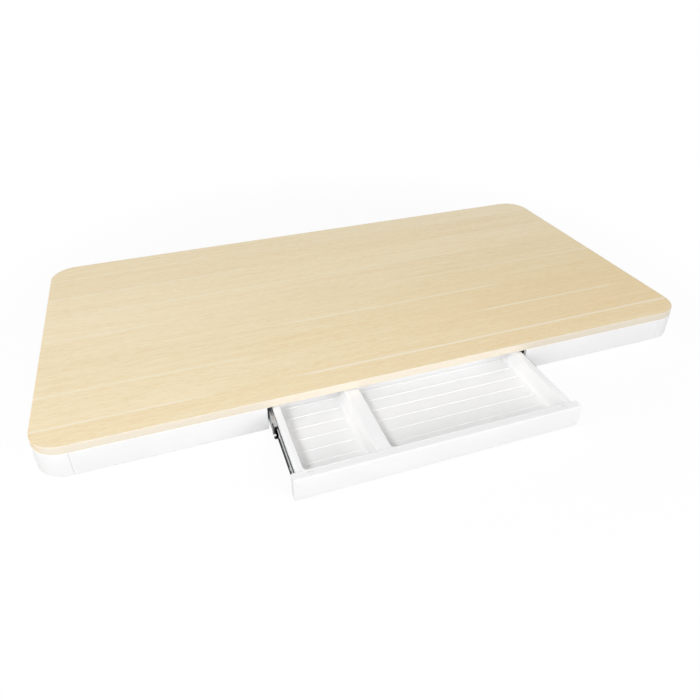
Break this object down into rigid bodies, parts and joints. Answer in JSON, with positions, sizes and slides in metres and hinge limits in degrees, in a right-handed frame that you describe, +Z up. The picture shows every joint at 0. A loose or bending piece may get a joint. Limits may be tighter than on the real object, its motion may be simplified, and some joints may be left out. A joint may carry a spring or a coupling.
{
  "type": "desk top with built-in drawer",
  "caption": "Rectangular wood-grain desk top with rounded corners, a white apron under its edge and a shallow white two-well tray drawer on telescopic ball slides.",
  "frame": {"origin": "centre of the board's underside, in the middle of the pattern of frame inserts", "axes": "+X to the right along the front, +Y from the drawer to the back, +Z up through the board"},
  "size_m": [1.2016, 0.7616, 0.06],
  "materials": {
    "wood_top": "satin melamine with a fine pale wood grain",
    "wood_edge": "satin edge band",
    "white_profile": "satin white powder coat",
    "white_moulding": "fine matte moulding",
    "tray_plastic": "satin moulding",
    "hanger_steel": "white powder coat",
    "zinc_steel": "bright zinc plate",
    "rail_steel": "zinc-plated rolled sheet",
    "cage_steel": "dark plated strip",
    "ball_steel": "polished",
    "black_plastic": "matte black",
    "brass": "turned"
  },
  "bodies": {
    "desk": {"top_board": "wood_top", "edge_band": "wood_edge", "frame_inserts": "brass", "apron_front_left": "white_profile", "apron_front_right": "white_profile", "apron_right": "white_profile", "apron_back": "white_profile", "apron_left": "white_profile", "corner_front_left": "white_moulding", "corner_front_right": "white_moulding", "corner_back_right": "white_moulding", "corner_back_left": "white_moulding", "opening_cap_left": "white_moulding", "opening_cap_right": "white_moulding", "apron_brackets": "zinc_steel", "bracket_screws": "zinc_steel", "corner_screws": "zinc_steel", "left_hanger": "hanger_steel", "right_hanger": "hanger_steel", "hanger_screws": "zinc_steel", "left_fixed_rail": "rail_steel", "right_fixed_rail": "rail_steel", "fixed_rail_screws": "zinc_steel", "rear_bumpers": "black_plastic"},
    "drawer": {"drawer_tray": "tray_plastic", "drawer_front": "white_profile", "front_cap_left": "white_moulding", "front_cap_right": "white_moulding", "front_plugs": "white_moulding", "front_screws": "zinc_steel", "left_drawer_rail": "rail_steel", "right_drawer_rail": "rail_steel", "drawer_rail_screws": "zinc_steel"},
    "left_middle": {"left_middle_rail": "rail_steel", "left_rail_bumper": "black_plastic"},
    "left_outer_bearing": {"left_outer_cage": "cage_steel", "left_outer_balls": "ball_steel"},
    "left_inner_bearing": {"left_inner_cage": "cage_steel", "left_inner_balls": "ball_steel"},
    "right_middle": {"right_middle_rail": "rail_steel", "right_rail_bumper": "black_plastic"},
    "right_outer_bearing": {"right_outer_cage": "cage_steel", "right_outer_balls": "ball_steel"},
    "right_inner_bearing": {"right_inner_cage": "cage_steel", "right_inner_balls": "ball_steel"}
  },
  "joints": [
    {"name": "drawer_slide", "type": "slide", "parent": "desk", "child": "drawer", "axis": [0, -1, 0], "range_m": [-0.16, 0.03]},
    {"name": "left_middle_slide", "type": "slide", "parent": "desk", "child": "left_middle", "axis": [0, -1, 0], "range_m": [-0.08, 0.015]},
    {"name": "left_outer_bearing_slide", "type": "slide", "parent": "desk", "child": "left_outer_bearing", "axis": [0, -1, 0], "range_m": [-0.04, 0.0075]},
    {"name": "left_inner_bearing_slide", "type": "slide", "parent": "desk", "child": "left_inner_bearing", "axis": [0, -1, 0], "range_m": [-0.12, 0.0225]},
    {"name": "right_middle_slide", "type": "slide", "parent": "desk", "child": "right_middle", "axis": [0, -1, 0], "range_m": [-0.08, 0.015]},
    {"name": "right_outer_bearing_slide", "type": "slide", "parent": "desk", "child": "right_outer_bearing", "axis": [0, -1, 0], "range_m": [-0.04, 0.0075]},
    {"name": "right_inner_bearing_slide", "type": "slide", "parent": "desk", "child": "right_inner_bearing", "axis": [0, -1, 0], "range_m": [-0.12, 0.0225]}
  ],
  "couplings": [
    {"joint": "left_middle_slide", "follows": "drawer_slide", "ratio": 0.5},
    {"joint": "left_outer_bearing_slide", "follows": "drawer_slide", "ratio": 0.25},
    {"joint": "left_inner_bearing_slide", "follows": "drawer_slide", "ratio": 0.75},
    {"joint": "right_middle_slide", "follows": "drawer_slide", "ratio": 0.5},
    {"joint": "right_outer_bearing_slide", "follows": "drawer_slide", "ratio": 0.25},
    {"joint": "right_inner_bearing_slide", "follows": "drawer_slide", "ratio": 0.75}
  ]
}
